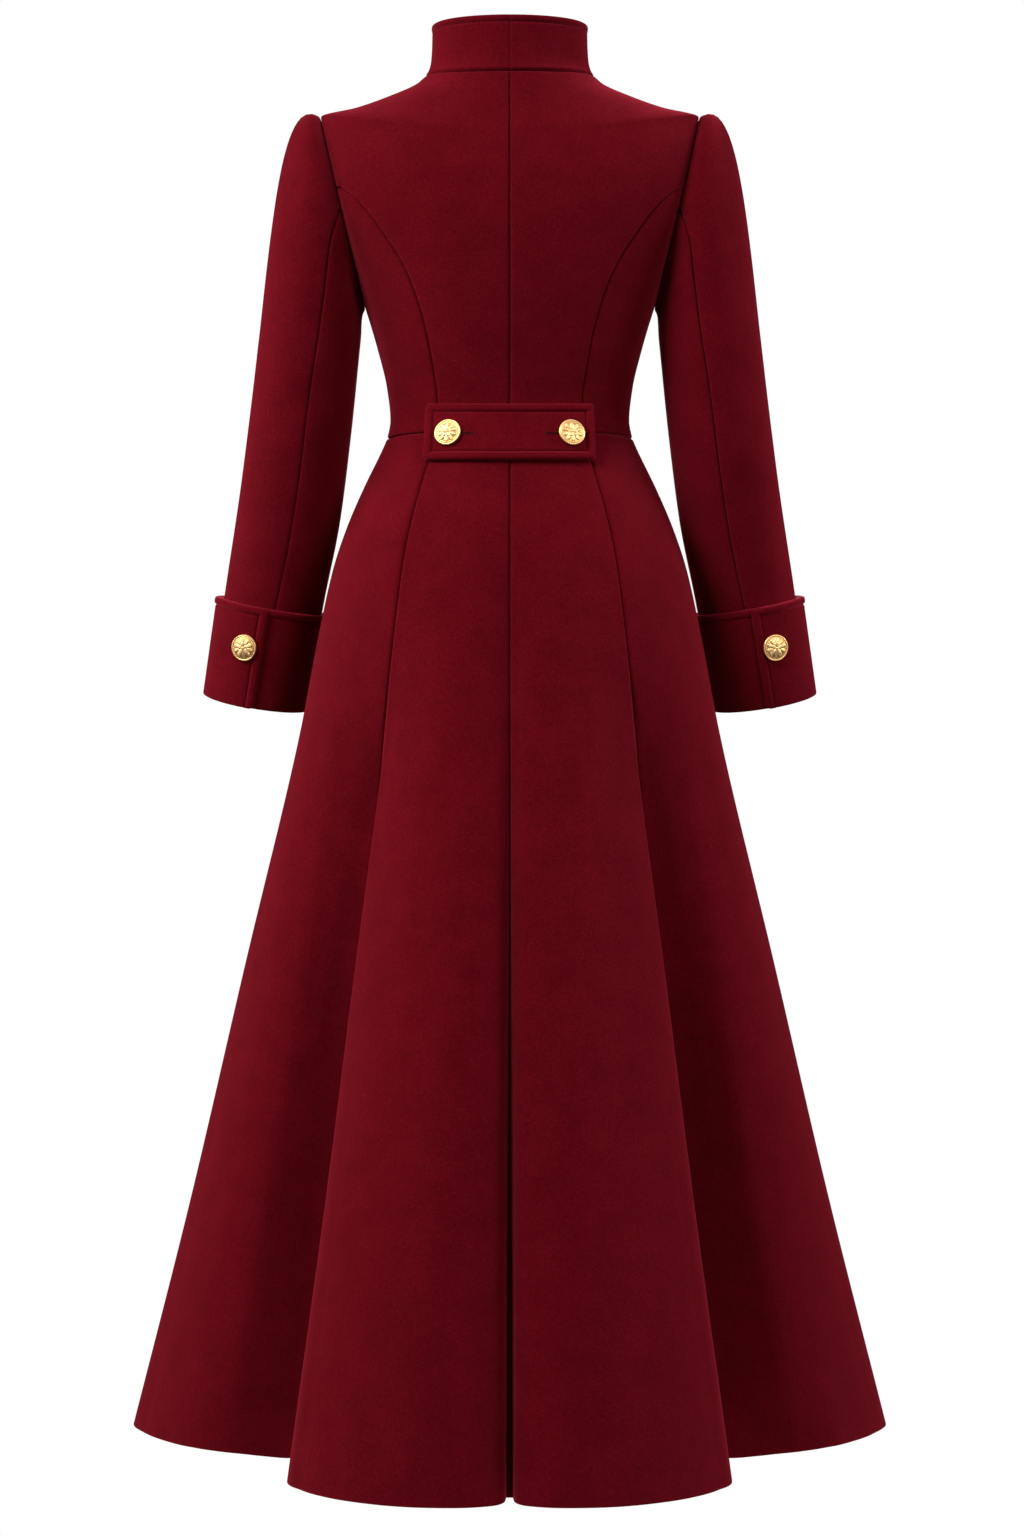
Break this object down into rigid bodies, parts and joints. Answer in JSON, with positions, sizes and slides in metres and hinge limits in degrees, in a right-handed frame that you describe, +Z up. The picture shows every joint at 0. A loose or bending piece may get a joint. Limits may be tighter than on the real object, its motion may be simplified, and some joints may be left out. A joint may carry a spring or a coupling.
{
  "type": "maxi coat",
  "caption": "Long fitted wool coat with a stand collar, princess seams, two-piece sleeves with turned-back cuffs, a buttoned half belt and a full flared skirt with a back pleat.",
  "frame": {"origin": "on the middle plane between the wearer's shoulders, level with the neck seam at the centre back, where the shoulders hold the coat up", "axes": "+Z up the wearer's body, the coat's front faces -Y, +X towards the wearer's left"},
  "size_m": [0.792, 0.7114, 1.4728],
  "materials": {
    "wool": "felted burgundy wool with a short soft nap",
    "button_metal": "polished pale gold metal"
  },
  "bodies": {
    "root": {"collar_left": "wool", "collar_right": "wool", "back_bodice_left": "wool", "back_bodice_right": "wool", "side_back_bodice_left": "wool", "side_back_bodice_right": "wool", "front_bodice_left": "wool", "front_bodice_right": "wool", "back_skirt_left": "wool", "back_skirt_right": "wool", "side_back_skirt_left": "wool", "side_back_skirt_right": "wool", "front_skirt_left": "wool", "front_skirt_right": "wool", "pleat_underlay": "wool", "upper_sleeve_left": "wool", "upper_sleeve_right": "wool", "under_sleeve_left": "wool", "under_sleeve_right": "wool", "cuff_left": "wool", "cuff_right": "wool", "half_belt": "wool", "belt_button_left": "button_metal", "belt_button_right": "button_metal", "cuff_button_left": "button_metal", "cuff_button_right": "button_metal"}
  },
  "joints": []
}
